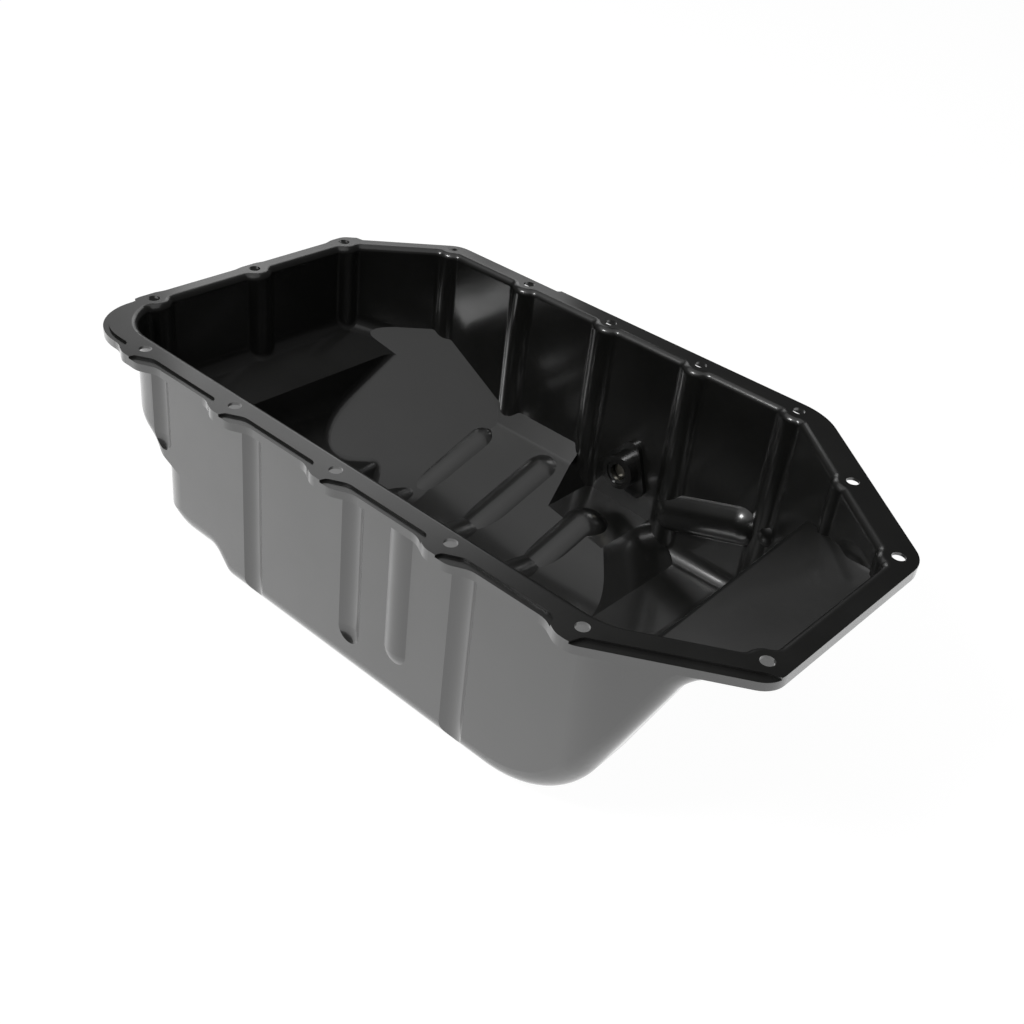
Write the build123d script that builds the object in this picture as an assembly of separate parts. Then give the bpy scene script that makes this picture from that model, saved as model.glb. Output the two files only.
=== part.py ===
"""Stamped steel engine oil pan with a weld nut, drain plug and sealing washer.

Frame: +Z up, flange on top, underside of the sump floor on Z = 0.  X runs
along the engine from the square end (-X) to the tapered nose (+X), Y across
it.  Millimetres throughout.
"""
import os
import math
from build123d import *

os.makedirs("parts", exist_ok=True)

# ------------------------------------------------------------------ dimensions
SHEET = 1.6            # sheet thickness
DEPTH = 130.0          # flange top to underside of the main floor
LIP_DROP = 5.8         # flange top to the lower edge of the turned-down lip
LEDGE_DROP = 1.3       # raised sealing face down to the narrow outer ledge
BEND_R = 2.4           # bend between flange and wall, on the underside
HOLE_D = 7.0           # clearance holes for M6 flange bolts
GROOVE_R = 9.0         # bolt-head relief pressed into the walls under the holes
NEAR_GROOVE_R = 12.0   # shallower relief on the -Y side
SHOULDER_R = 5.6       # where a relief runs into the wall, outside
CHAIN_R = 12.0         # rounding between walls and floor, outside
RIB_R, RIB_H = 15.0, 3.8   # floor stiffening ribs, outside radius and height

# bolt holes, measured from the middle of the bolt pattern
LEFT_X, NOSE_X = -212.0, 212.0
NEAR_Y, FAR_Y = -119.0, 119.0
HOLES_LEFT = [(LEFT_X, -79.5 + 73.0 * i) for i in range(3)]
HOLES_FAR = [(-163.0 + 67.0 * i, FAR_Y) for i in range(5)]
HOLES_NEAR = [(-163.0 + 77.5 * i, NEAR_Y) for i in range(5)]
HOLES_NOSE = [(NOSE_X, 36.0), (NOSE_X, -77.0)]
HOLE_TAPER = [(163.0, 78.0)]
HOLES = HOLES_LEFT + HOLES_FAR + HOLE_TAPER + HOLES_NOSE + HOLES_NEAR

# drain, axis along Y
DRAIN_X, DRAIN_Z = 4.0, -85.0
DRAIN_HOLE_R = 7.0                 # hole through the sheet
NUT_BORE_R = 5.45                  # weld nut thread, as a plain bore
PLUG_SHANK_R = 5.40                # plug shank
COLLAR_R, COLLAR_L = 11.0, 7.0
PLATE_T, LOBE_R, LOBE_AT = 3.0, 6.5, 14.0
WALL_OUT, WALL_IN = 114.6, 113.0   # the drain wall, outer and inner face
WASHER_R, WASHER_T = 10.5, 1.5
PLUG_FLANGE_R, PLUG_AF, PLUG_HEAD, PLUG_L = 10.0, 17.0, 7.0, 9.0

# from the middle of the bolt pattern to the middle of the bounding box, on the floor
ORIGIN = (-1.85, 1.4, DEPTH)


# ------------------------------------------------------------------ 2-D helpers
def inset(pts, d):
    """Move every side of a counter-clockwise outline inwards by d; radii follow."""
    n = len(pts)
    lines = []
    for i in range(n):
        x0, y0, _ = pts[i]
        x1, y1, _ = pts[(i + 1) % n]
        l = math.hypot(x1 - x0, y1 - y0)
        ux, uy = (x1 - x0) / l, (y1 - y0) / l
        lines.append((x0 - uy * d, y0 + ux * d, ux, uy))
    out = []
    for i in range(n):
        ax, ay, aux, auy = lines[i - 1]
        bx, by, bux, buy = lines[i]
        den = aux * buy - auy * bux
        t = ((bx - ax) * buy - (by - ay) * bux) / den
        r = pts[i][2]
        if r:
            r = max(r - d if den > 0 else r + d, 0.3)
        out.append((ax + aux * t, ay + auy * t, r))
    return out


def outline(pts):
    """Closed face through (x, y, radius) corners, every corner rounded."""
    n = len(pts)
    cut = []
    for i in range(n):
        x, y, r = pts[i]
        px, py, _ = pts[i - 1]
        qx, qy, _ = pts[(i + 1) % n]
        a = math.hypot(px - x, py - y)
        b = math.hypot(qx - x, qy - y)
        ux, uy = (px - x) / a, (py - y) / a
        vx, vy = (qx - x) / b, (qy - y) / b
        ang = math.acos(max(-1.0, min(1.0, ux * vx + uy * vy)))
        if not r or abs(ang - math.pi) < 1e-4:
            cut.append(((x, y), None, (x, y)))
            continue
        t = r / math.tan(ang / 2)
        assert t < a and t < b, ("corner radius too large", pts[i])
        bx, by = ux + vx, uy + vy
        l = math.hypot(bx, by)
        c = r / math.sin(ang / 2) - r
        cut.append(((x + ux * t, y + uy * t), (x + bx / l * c, y + by / l * c),
                    (x + vx * t, y + vy * t)))
    edges = []
    for i in range(n):
        s, m, e = cut[i]
        if m is not None:
            edges.append(ThreePointArc(s, m, e))
        nxt = cut[(i + 1) % n][0]
        if math.hypot(nxt[0] - e[0], nxt[1] - e[1]) > 1e-6:
            edges.append(Line(e, nxt))
    return make_face(Wire(edges).edges())


def prism(pts, z0, z1):
    return Pos(0, 0, z0) * extrude(outline(pts), amount=z1 - z0, dir=(0, 0, 1))


XZ = Plane(origin=(0, 0, 0), x_dir=(1, 0, 0), z_dir=(0, -1, 0))
YZ = Plane(origin=(0, 0, 0), x_dir=(0, 1, 0), z_dir=(1, 0, 0))


def prism_xz(pts, y0, y1, skew=0.0):
    """Side-view outline (x, z, radius) pushed along Y; skew leans it in plan."""
    d = Vector(-skew, 1, 0)
    k = d.length
    return Pos(-skew * (y0 + 110.0), y0, 0) * extrude(XZ * outline(pts), amount=(y1 - y0) * k, dir=d / k)


def prism_yz(pts, x0, x1):
    return Pos(x0, 0, 0) * extrude(YZ * outline(pts), amount=x1 - x0, dir=(1, 0, 0))


# ------------------------------------------------------------------ flange outlines
# boundary between the flat flange and the bend into the walls
FLAT = [(-210.5, -112.4, 36), (152.9, -112.4, 42), (213.7, -74.7, 14.4),
        (213.7, 30.4, 14.4), (109.1, 117.0, 22), (-163.3, 117.0, 18),
        (-210.5, 66.6, 18)]


def ear(x, y, sx, sy, half, flat, out, r):
    """Four corners of an outward bulge on a side running along (sx, sy)."""
    nx, ny = sy, -sx
    return [(x - sx * half, y - sy * half, r),
            (x - sx * flat + nx * out, y - sy * flat + ny * out, r * 0.8),
            (x + sx * flat + nx * out, y + sy * flat + ny * out, r * 0.8),
            (x + sx * half, y + sy * half, r)]


# outer face of the turned-down lip
LIP = [(-217.2, -125.5, 34)]
for hx, _ in HOLES_NEAR[:4]:
    LIP += ear(hx + 2.0, -125.5, 1, 0, 17.0, 7.0, 5.3, 14)
LIP += [(132.0, -125.5, 14), (142.0, -130.8, 11), (150.1, -130.8, 11),
        (222.5, -85.9, 14), (222.5, 41.2, 20), (117.8, 128.0, 40),
        (-165.2, 128.0, 16), (-218.8, 71.2, 9), (-218.8, 61.0, 9), (-217.2, 55.5, 9)]
for _, hy in (HOLES_LEFT[1], HOLES_LEFT[0]):
    LIP += ear(-217.2, hy, 0, -1, 11.0, 5.5, 1.0, 9)

# edge of the raised sealing face; it runs past the lip where there is no ledge
RAISED = [(-213.9, -122.0, 30)]
for hx, _ in HOLES_NEAR[:4]:
    RAISED += [(hx - 11.0, -122.0, 4), (hx - 7.5, -134.0, 3), (hx + 1.0, -134.0, 3),
               (hx + 2.8, -127.4, 3), (hx + 12.5, -122.0, 10)]
RAISED += [(134.0, -122.0, 6), (140.0, -134.0, 5), (148.0, -134.0, 4), (151.5, -123.7, 5),
           (216.5, -83.4, 3), (236.0, -76.0, 5), (236.0, 60.0, 5), (130.0, 140.0, 5),
           (-72.0, 140.0, 5), (-78.0, 124.3, 6), (-160.0, 124.3, 12), (-206.6, 78.7, 6),
           (-226.0, 76.0, 4), (-226.0, -84.0, 3), (-213.9, -90.5, 1)]

# ------------------------------------------------------------------ sump
STEP_SKEW, RIB_SKEW, NOSE_SKEW = 0.08, -0.13, 0.04
LEFT_SIDE = [(-260.0, -35.2, 0), (-175.5, -69.0, 14), (-175.5, -117.0, 34), (20.0, -117.0, 0), (20.0, 30.0, 0),
             (-260.0, 30.0, 0)]
STEP_SIDE = [(-128.0, -110.5, 0), (-110.0, -130.0, 14), (70.0, -130.0, 0), (70.0, -105.0, 0), (-128.0, -105.0, 0)]
NOSE_SHELF = [(126.0, -134.0, 0), (300.0, -134.0, 0), (300.0, 24.6, 0), (150.0, -40.0, 7)]
NOSE_SHELF_Y = -76.0
MAIN_SIDE = [(0.0, -130.0, 0), (137.0, -130.0, 65), (184.0, -24.5, 16), (250.0, -18.0, 0), (250.0, 30.0, 0),
             (0.0, 30.0, 0)]


def side_solid(o):
    left = prism_xz(inset(LEFT_SIDE, o), -170, 170)
    step = prism_xz(inset(STEP_SIDE, o), -170, 170, STEP_SKEW)
    main = prism_xz(inset(MAIN_SIDE, o), -170, 170, NOSE_SKEW)
    # the three blocks overlap by more than the inset
    return left + step + main


# plan of the deep part at the square end, below the shelf
LOW_PLAN = [(-175.5, -110.0, 25), (80.0, -110.0, 0), (80.0, 114.6, 0), (-175.5, 114.6, 25)]
BELOW_SHELF = [(-260.0, -300.0, 0), (-150.0, -300.0, 0), (-150.0, -79.2, 0), (-260.0, -35.2, 0)]
# +Y side, square-end half: the floor rises gently to a narrow ledge under the wall
RISE = [(38.0, -130.1, 90), (4.0, -130.1, 0), (4.0, -190.0, 0), (160.0, -190.0, 0), (160.0, -42.6, 0), (114.6, -88.0, 0),
        (104.0, -98.6, 10)]
# the floor also climbs into the corner between the square end and the +Y wall; s runs square to the corner wall
CORNER_RISE = [(100.0, -130.2, 60), (60.0, -130.2, 0), (60.0, -190.0, 0), (300.0, -190.0, 0), (300.0, 19.8, 0)]
CORNER_TURN = 46.9
# between the pad and the nose the rise falls back to the flat floor
FADE_AT, FADE_DEG = (27.0, 0.0, -116.0), 27.0
# bead in the +Y wall that climbs towards the nose: first and last (x, z), radius, depth
BEAD = [(42.0, -99.0), (90.0, -83.5)]
BEAD_R, BEAD_IN = 13.0, 8.0
DIMPLE = (109.0, -79.0, 9.0)
PAD = [(-34.0, -40.0, 0), (-34.0, -98.0, 0), (-24.0, -113.0, 0), (27.0, -116.0, 0), (37.0, -86.0, 0), (37.0, -40.0, 0)]
RIBS = [(-127.5, 94.0), (-74.5, 97.0), (-22.5, 80.0), (29.0, 12.0)]     # x at the -Y wall, y where the rib runs out
GROOVES = HOLES_LEFT + HOLES_FAR + HOLE_TAPER + HOLES_NOSE
NEAR_GROOVES = [(-165.0, -60.0), (-84.0, -140.0), (-4.5, -102.0), (72.0, -140.0)]   # x, lower end
BULGE_X, BULGE_R, BULGE_Z = 30.0, 13.0, -94.0


def capsule(x, y, r, z0, z1):
    """Upright round-ended bar between z0 and z1."""
    body = Pos(x, y, z0) * Cylinder(r, z1 - z0, align=(Align.CENTER, Align.CENTER, Align.MIN))
    return body + Pos(x, y, z0) * Sphere(r) + Pos(x, y, z1) * Sphere(r)


def lateral(solid):
    return [f for f in solid.faces() if abs(f.normal_at(f.center()).Z) < 0.5]


def sump(o, top):
    """Solid bounded by the sump skin, moved inwards by o (0 outside, SHEET inside)."""
    plan = prism(inset(FLAT, BEND_R + o), -150, top)
    side = side_solid(o)
    z = -117.0 + o
    crease = [e for e in side.edges() if e.length > 300 and abs((e @ 0).Z - z) < 0.05
              and abs((e @ 1).Z - z) < 0.05 and abs((e @ 0).X - (e @ 1).X) > 5]
    side = side.fillet(6.0 + o, crease)
    body = (plan & side).solids()[0]
    walls = lateral(plan)
    chain = []
    for e in body.edges():
        b = e.bounding_box()
        if b.min.Z > -3.0 or (b.size.Z > 1 and b.size.X < 1e-3 and b.size.Y < 1e-3):
            continue
        if all(min(f.distance_to(Vertex(*(e @ q))) for f in walls) < 0.02 for q in (0.5, 0.31)):
            chain.append(e)
    body = body.fillet(CHAIN_R - o, chain)

    # shelf pressed up inside the nose, short of the -Y wall
    body = body - prism_xz(inset(NOSE_SHELF, -o), NOSE_SHELF_Y - o, 170, NOSE_SKEW)

    # rounded corners of the deep part under the shelf
    body = body - (prism_xz(inset(BELOW_SHELF, -o), -170, 170) - prism(inset(LOW_PLAN, o), -320, 40))

    # +Y side: rising floor with a narrow ledge, broken by the upright pad around the drain
    pad = prism_xz(inset(PAD, o), 20, 170)
    fade = Pos(*FADE_AT) * (Rot(0, FADE_DEG, 0) * (Pos(0, 60, -100 + o) * Box(700, 300, 200)))
    low = prism_yz(inset(RISE, -o), -230, 66.0) & fade
    corner = Rot(0, 0, CORNER_TURN) * prism_yz(inset(CORNER_RISE, -o), -260, 160)
    body = body - (low - pad) - corner

    # reliefs under the bolt heads, with rounded shoulders
    for x, y in GROOVES:
        body = body - Pos(x, y, -160) * Cylinder(GROOVE_R + o, 200, align=(Align.CENTER, Align.CENTER, Align.MIN))
    body = body.solids()[0]
    for x, y in GROOVES:
        for turn in range(4):
            todo = [e for e in body.edges() if e.length > 8.0
                    and math.hypot((e @ 0).X - (e @ 1).X, (e @ 0).Y - (e @ 1).Y) < 1e-3
                    and abs(math.hypot((e @ 0).X - x, (e @ 0).Y - y) - GROOVE_R - o) < 0.02]
            todo.sort(key=lambda e: -max((e @ 0).Z, (e @ 1).Z))
            for e in todo:
                try:
                    body = body.fillet(SHOULDER_R - o, [e])
                    break
                except ValueError:
                    continue
            else:
                break
    # climbing bead and the dimple beyond it
    y = 114.6 + BEAD_R - BEAD_IN
    (x0, z0), (x1, z1) = BEAD
    axis = Vector(x1 - x0, 0, z1 - z0)
    body = body - Plane(origin=(x0, y, z0), x_dir=(0, 1, 0), z_dir=axis) * Cylinder(
        BEAD_R + o, axis.length, align=(Align.CENTER, Align.CENTER, Align.MIN))
    body = body - Pos(x0, y, z0) * Sphere(BEAD_R + o) - Pos(x1, y, z1) * Sphere(BEAD_R + o)
    body = body - Pos(DIMPLE[0], 114.6 + 3.0, DIMPLE[1]) * Sphere(DIMPLE[2] + o)
    for x, z in NEAR_GROOVES:
        body = body - capsule(x, NEAR_Y, NEAR_GROOVE_R + o, z, -18.0)
    # stiffening bulge on the -Y wall
    body = body + (capsule(BULGE_X, -110.0 + 10.5, BULGE_R - o, BULGE_Z, -8.0) & prism([(-400, -300, 0), (400, -300, 0), (400, -60, 0), (-400, -60, 0)], -126, -3.0))
    # floor ribs, pressed up from below, following the floor and then its rise
    zc = -130.0 - RIB_R + RIB_H
    up = math.atan2(31.5, 66.0)
    bend = 38.0 + (RIB_R - RIB_H) * math.tan(up / 2)
    for x, y1 in RIBS:
        def at(y):
            return x - RIB_SKEW * (y + 110.0)
        a = Vector(at(-150.0), -150.0, zc)
        b = Vector(at(min(bend, y1)), min(bend, y1), zc)
        c = Vector(at(y1), y1, zc + (y1 - bend) * math.tan(up))
        for p, q in ((a, b), (b, c))[:2 if y1 > bend else 1]:
            d = q - p
            body = body - Plane(origin=p, x_dir=(1, RIB_SKEW, 0), z_dir=d) * Cylinder(
                RIB_R + o, d.length, align=(Align.CENTER, Align.CENTER, Align.MIN))
            body = body - Pos(*q) * Sphere(RIB_R + o)
    # soften the climbing corner against the square-end wall
    p = Vertex(-175.5 + o, 61.0, -77.6 + 1.2 * o)
    body = body.fillet(9.0 - o, [min(body.edges(), key=lambda e: e.distance_to(p))])
    return body


# ------------------------------------------------------------------ the stamped pan
def plate():
    big = [(-400, -300, 0), (400, -300, 0), (400, 300, 0), (-400, 300, 0)]
    skin = prism(LIP, -LIP_DROP, 0)
    ledge = prism(big, -LEDGE_DROP, 5) - prism(RAISED, -LEDGE_DROP - 1, 6)
    skin = skin - ledge
    under = prism(inset(LIP, SHEET), -LIP_DROP - 4, -SHEET)
    keep = prism(big, -SHEET - LEDGE_DROP, 5) - prism(inset(RAISED, 0.7), -SHEET - LEDGE_DROP - 1, 6)
    return skin, under - keep


def inner_loop(body, z, up):
    """Edges where the flat of the flange turns into the sump."""
    flats = [f for f in body.faces() if abs(f.center().Z - z) < 1e-3 and f.normal_at(f.center()).Z * up > 0.9]
    flat = max(flats, key=lambda f: f.area)
    return max(flat.inner_wires(), key=lambda w: w.length).edges()


def pan():
    skin, under = plate()
    body = (skin - under) + sump(0.0, -0.8)
    body = (body - sump(SHEET, 4.0)).solids()[0]
    # bends between flange and walls: outside the sump, then inside
    body = body.fillet(BEND_R, inner_loop(body, -SHEET, -1))
    body = body.fillet(BEND_R + SHEET, inner_loop(body, 0.0, 1))
    for x, y in HOLES:
        body = body - Pos(x, y, -8) * Cylinder(HOLE_D / 2, 12, align=(Align.CENTER, Align.CENTER, Align.MIN))
    body = body - along_y(DRAIN_HOLE_R, 105.0, 125.0)
    return body.solids()[0]


# ------------------------------------------------------------------ drain fittings
def along_y(r, y0, y1):
    return Pos(DRAIN_X, y0, DRAIN_Z) * Rot(-90, 0, 0) * Cylinder(r, y1 - y0, align=(Align.CENTER, Align.CENTER, Align.MIN))


def drain_nut():
    """Weld nut inside the wall: three-lobed plate with a round threaded collar."""
    c = LOBE_AT + 2.0 * LOBE_R
    tri = [(DRAIN_X + c * math.cos(math.radians(a)), DRAIN_Z + c * math.sin(math.radians(a)), LOBE_R)
           for a in (78.0, 198.0, 318.0)]
    nut = prism_xz(tri, WALL_IN - PLATE_T, WALL_IN)
    nut = nut + along_y(COLLAR_R, WALL_IN - PLATE_T - COLLAR_L, WALL_IN - 1.0)
    # step in the face of the collar, then the thread bore
    nut = nut - along_y(COLLAR_R - 3.0, WALL_IN - PLATE_T - COLLAR_L - 1.0, WALL_IN - PLATE_T - COLLAR_L + 0.8)
    nut = nut - along_y(NUT_BORE_R, 90.0, 120.0)
    return nut.solids()[0]


def drain_washer():
    return (along_y(WASHER_R, WALL_OUT, WALL_OUT + WASHER_T) - along_y(6.1, WALL_OUT - 1, WALL_OUT + 5)).solids()[0]


def drain_plug():
    y0 = WALL_OUT + WASHER_T
    shank = along_y(PLUG_SHANK_R, y0 - PLUG_L, y0)
    tip = [e for e in shank.edges() if e.geom_type == GeomType.CIRCLE and e.center().Y < y0 - 1]
    shank = chamfer(tip, 1.0)
    flange = along_y(PLUG_FLANGE_R, y0, y0 + 2.0)
    hexa = Pos(DRAIN_X, y0 + 2.0, DRAIN_Z) * Rot(-90, 0, 0) * extrude(
        RegularPolygon(PLUG_AF / 2, 6, major_radius=False), amount=PLUG_HEAD)
    crown = Pos(DRAIN_X, y0 - 2.0, DRAIN_Z) * Rot(-90, 0, 0) * Cone(
        PLUG_AF / 2 + 9.0, PLUG_AF / 2, PLUG_HEAD + 4.0, align=(Align.CENTER, Align.CENTER, Align.MIN))
    return (shank + flange + (hexa & crown)).solids()[0]


def save(node, solid, colour):
    solid = Pos(*ORIGIN) * solid
    solid.label = node
    solid.color = Color(*colour)
    export_step(solid, os.path.join("parts", node + ".step"))
    bb = solid.bounding_box()
    print(node, "valid", solid.is_valid, "volume", round(solid.volume, 1),
          [round(v, 2) for v in (bb.min.X, bb.min.Y, bb.min.Z, bb.max.X, bb.max.Y, bb.max.Z)])


save("oil_pan", pan(), (0.06, 0.06, 0.06))
save("drain_nut", drain_nut(), (0.08, 0.08, 0.08))
save("drain_washer", drain_washer(), (0.72, 0.45, 0.25))
save("drain_plug", drain_plug(), (0.6, 0.58, 0.5))
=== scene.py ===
import math
import bpy
import bmesh
import numpy as np
from mathutils import Matrix, Vector

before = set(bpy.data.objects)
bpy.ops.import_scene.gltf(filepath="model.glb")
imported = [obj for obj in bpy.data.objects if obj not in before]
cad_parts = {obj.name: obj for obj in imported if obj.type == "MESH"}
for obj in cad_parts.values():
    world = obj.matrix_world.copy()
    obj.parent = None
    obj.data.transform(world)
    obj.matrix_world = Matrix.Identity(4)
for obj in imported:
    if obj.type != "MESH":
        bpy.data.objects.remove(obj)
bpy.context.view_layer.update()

OX, OY, OZ = -1.85, 1.4, 130.0          # bolt-pattern frame to part frame, mm


# ------------------------------------------------------------------ node helpers
def material(name):
    m = bpy.data.materials.new(name)
    m.use_nodes = True
    nt = m.node_tree
    for n in list(nt.nodes):
        nt.nodes.remove(n)
    out = nt.nodes.new("ShaderNodeOutputMaterial")
    b = nt.nodes.new("ShaderNodeBsdfPrincipled")
    nt.links.new(b.outputs[0], out.inputs[0])
    return m, nt, b


def noise(nt, scale, detail=3.0, rough=0.5, stretch=(1, 1, 1)):
    tc = nt.nodes.new("ShaderNodeTexCoord")
    mp = nt.nodes.new("ShaderNodeMapping")
    mp.inputs["Scale"].default_value = stretch
    n = nt.nodes.new("ShaderNodeTexNoise")
    n.inputs["Scale"].default_value = scale
    n.inputs["Detail"].default_value = detail
    n.inputs["Roughness"].default_value = rough
    nt.links.new(tc.outputs["Object"], mp.inputs["Vector"])
    nt.links.new(mp.outputs["Vector"], n.inputs["Vector"])
    return n.outputs["Fac"]


def remap(nt, fac, a, b, c, d):
    r = nt.nodes.new("ShaderNodeMapRange")
    r.inputs["From Min"].default_value = a
    r.inputs["From Max"].default_value = b
    r.inputs["To Min"].default_value = c
    r.inputs["To Max"].default_value = d
    nt.links.new(fac, r.inputs["Value"])
    return r.outputs["Result"]


def ramp(nt, fac, stops):
    r = nt.nodes.new("ShaderNodeValToRGB")
    e = r.color_ramp.elements
    while len(e) > 1:
        e.remove(e[-1])
    e[0].position, e[0].color = stops[0][0], (*stops[0][1], 1)
    for p, c in stops[1:]:
        k = e.new(p)
        k.color = (*c, 1)
    nt.links.new(fac, r.inputs["Fac"])
    return r.outputs["Color"]


def bump(nt, height, strength, distance, prev=None):
    b = nt.nodes.new("ShaderNodeBump")
    b.inputs["Strength"].default_value = strength
    b.inputs["Distance"].default_value = distance
    nt.links.new(height, b.inputs["Height"])
    if prev is not None:
        nt.links.new(prev, b.inputs["Normal"])
    return b.outputs["Normal"]


def e_coat(name, base, rough):
    """Black electro-dipped paint on pressed steel: slight orange peel, soft sheen changes, faint dust."""
    m, nt, b = material(name)
    n1 = noise(nt, 26.0, 4.0, 0.55)
    n2 = noise(nt, 420.0, 2.0, 0.5)
    n3 = noise(nt, 7.0, 3.0, 0.5)
    col = ramp(nt, n1, [(0.30, tuple(v * 0.80 for v in base)), (0.55, base), (0.80, tuple(v * 1.35 for v in base))])
    nt.links.new(col, b.inputs["Base Color"])
    nt.links.new(remap(nt, n1, 0.3, 0.7, rough * 0.86, rough * 1.16), b.inputs["Roughness"])
    nb = bump(nt, n3, 0.10, 0.004)
    nb = bump(nt, n2, 0.06, 0.0002, nb)
    nt.links.new(nb, b.inputs["Normal"])
    b.inputs["Specular IOR Level"].default_value = 0.9
    b.inputs["Coat Weight"].default_value = 1.0
    b.inputs["Coat Roughness"].default_value = 0.14
    b.inputs["Coat IOR"].default_value = 1.6
    return m


def plated(name, base, rough):
    m, nt, b = material(name)
    n1 = noise(nt, 60.0, 3.0, 0.5)
    n2 = noise(nt, 900.0, 2.0, 0.5, (1, 1, 0.15))
    col = ramp(nt, n1, [(0.3, tuple(v * 0.85 for v in base)), (0.7, base)])
    nt.links.new(col, b.inputs["Base Color"])
    nt.links.new(remap(nt, n1, 0.3, 0.7, rough * 0.8, rough * 1.25), b.inputs["Roughness"])
    nt.links.new(bump(nt, n2, 0.15, 0.0002), b.inputs["Normal"])
    b.inputs["Metallic"].default_value = 1.0
    return m


M_PAN = e_coat("pan_black_coat", (0.011, 0.0112, 0.0102), 0.36)
M_NUT = e_coat("nut_black_coat", (0.014, 0.014, 0.013), 0.22)
M_WASHER = plated("washer_aluminium", (0.70, 0.70, 0.71), 0.32)
M_PLUG = plated("plug_zinc", (0.42, 0.40, 0.34), 0.34)
for node, mat in (("oil_pan", M_PAN), ("drain_nut", M_NUT), ("drain_washer", M_WASHER), ("drain_plug", M_PLUG)):
    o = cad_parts[node]
    o.data.materials.clear()
    o.data.materials.append(mat)

# ------------------------------------------------------------------ floor
bpy.ops.mesh.primitive_plane_add(size=30.0, location=(0, 0, -0.0004))
floor = bpy.context.active_object
floor.name = "studio_floor"
fm, fnt, fb = material("pale_floor")
fb.inputs["Base Color"].default_value = (0.16, 0.16, 0.16, 1)
fb.inputs["Roughness"].default_value = 0.9
fb.inputs["Specular IOR Level"].default_value = 0.1
fb.inputs["Emission Color"].default_value = (1, 1, 1, 1)
fb.inputs["Emission Strength"].default_value = 0.97
floor.data.materials.append(fm)

# ------------------------------------------------------------------ light
world = bpy.data.worlds.new("studio")
bpy.context.scene.world = world
world.use_nodes = True
wn = world.node_tree
for n in list(wn.nodes):
    wn.nodes.remove(n)
wo = wn.nodes.new("ShaderNodeOutputWorld")
bg = wn.nodes.new("ShaderNodeBackground")
bg.inputs["Color"].default_value = (1, 1, 1, 1)
bg.inputs["Strength"].default_value = 0.04
wn.links.new(bg.outputs[0], wo.inputs[0])


def area(name, loc, target, size, power, shape="RECTANGLE", size_y=None):
    l = bpy.data.lights.new(name, "AREA")
    l.shape = shape
    l.size = size
    if size_y:
        l.size_y = size_y
    l.energy = power
    o = bpy.data.objects.new(name, l)
    bpy.context.scene.collection.objects.link(o)
    o.location = loc
    d = Vector(target) - Vector(loc)
    o.rotation_euler = d.to_track_quat("-Z", "Y").to_euler()
    return o


area("top_box", (-0.1, -0.25, 1.3), (0.0, 0, 0.05), 2.2, 3.0, size_y=1.3)
area("back_left_card", (-1.45, 0.92, 0.74), (-0.05, 0, 0.05), 0.9, 0.55, size_y=0.5)
area("back_high_card", (-1.10, 0.95, 0.95), (-0.05, 0, 0.10), 0.7, 0.8, size_y=0.5)
area("key_box", (-0.36, -1.08, 1.39), (0.0, 0, 0.05), 0.5, 9.0, size_y=0.4)

# ------------------------------------------------------------------ camera
R = ((0.734068, 0.671827, 0.098958), (0.439103, -0.358435, -0.82384), (-0.518008, 0.648208, -0.558117))
cam_data = bpy.data.cameras.new("camera")
cam = bpy.data.objects.new("camera", cam_data)
bpy.context.scene.collection.objects.link(cam)
cam_data.sensor_width = 36.0
cam_data.sensor_fit = "HORIZONTAL"
cam_data.lens = 1299.895 / 1024.0 * 36.0
cam_data.clip_start = 0.01
cam_data.clip_end = 50.0
# camera axes expressed in the part frame: columns are right, up, back
m = Matrix(((R[0][0], -R[1][0], -R[2][0]), (R[0][1], -R[1][1], -R[2][1]), (R[0][2], -R[1][2], -R[2][2])))
cam.matrix_world = Matrix.Translation(((385.104 + OX) / 1000, (-472.852 + OY) / 1000, (338.989 + OZ) / 1000)) @ m.to_4x4()
bpy.context.scene.camera = cam

bpy.context.scene.view_settings.view_transform = "Standard"
bpy.context.scene.view_settings.look = "None"
bpy.context.scene.view_settings.exposure = 0.0
